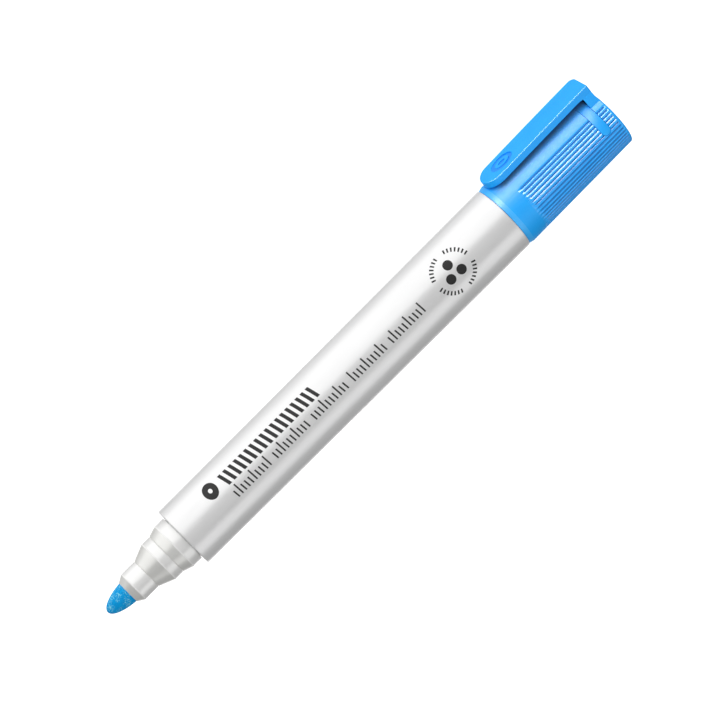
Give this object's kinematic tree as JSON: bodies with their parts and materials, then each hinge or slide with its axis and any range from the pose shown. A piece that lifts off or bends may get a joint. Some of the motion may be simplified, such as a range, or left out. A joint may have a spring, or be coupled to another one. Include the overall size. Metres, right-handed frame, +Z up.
{
  "type": "whiteboard marker",
  "caption": "Bullet-tip whiteboard marker with its ribbed clip cap posted on the rear end, lying on its side.",
  "frame": {"origin": "on the floor under the middle of the marker's bounding box, with the pen lying on the cap and on one edge of the pocket clip", "axes": "+X along the pen's axis towards the nib, +Z up, the pocket clip pointing towards -Y and 27 degrees down"},
  "size_m": [0.1474, 0.0188, 0.0157],
  "materials": {
    "barrel_plastic": "silver-white satin plastic with a fine pearl",
    "section_plastic": "warm white satin plastic",
    "nib_fibre": "felted fibre soaked in light blue ink",
    "reservoir_fibre": "bundled fibre soaked in light blue ink",
    "reservoir_film": "thin clear film",
    "cap_plastic": "sky blue satin plastic",
    "inner_cap_plastic": "smooth sky blue plastic"
  },
  "bodies": {
    "pen": {"barrel": "barrel_plastic", "front_section": "section_plastic", "nib": "nib_fibre", "ink_reservoir": "reservoir_fibre", "reservoir_film": "reservoir_film", "rear_plug": "cap_plastic"},
    "cap": {"cap_shell": "cap_plastic", "inner_cap": "inner_cap_plastic"},
    "clip": {"pocket_clip": "cap_plastic"}
  },
  "joints": [
    {"name": "cap_pull", "type": "slide", "parent": "pen", "child": "cap", "axis": [-1, 0, 0], "range_m": [0, 0.04]},
    {"name": "clip_flex", "type": "hinge", "parent": "cap", "child": "clip", "pos_m": [-0.07346, -0.00517, 0.00434], "axis": [0, 0.4606, -0.8876], "range_deg": [-0.6, 4.5], "stiffness_Nm_per_rad": 2}
  ]
}
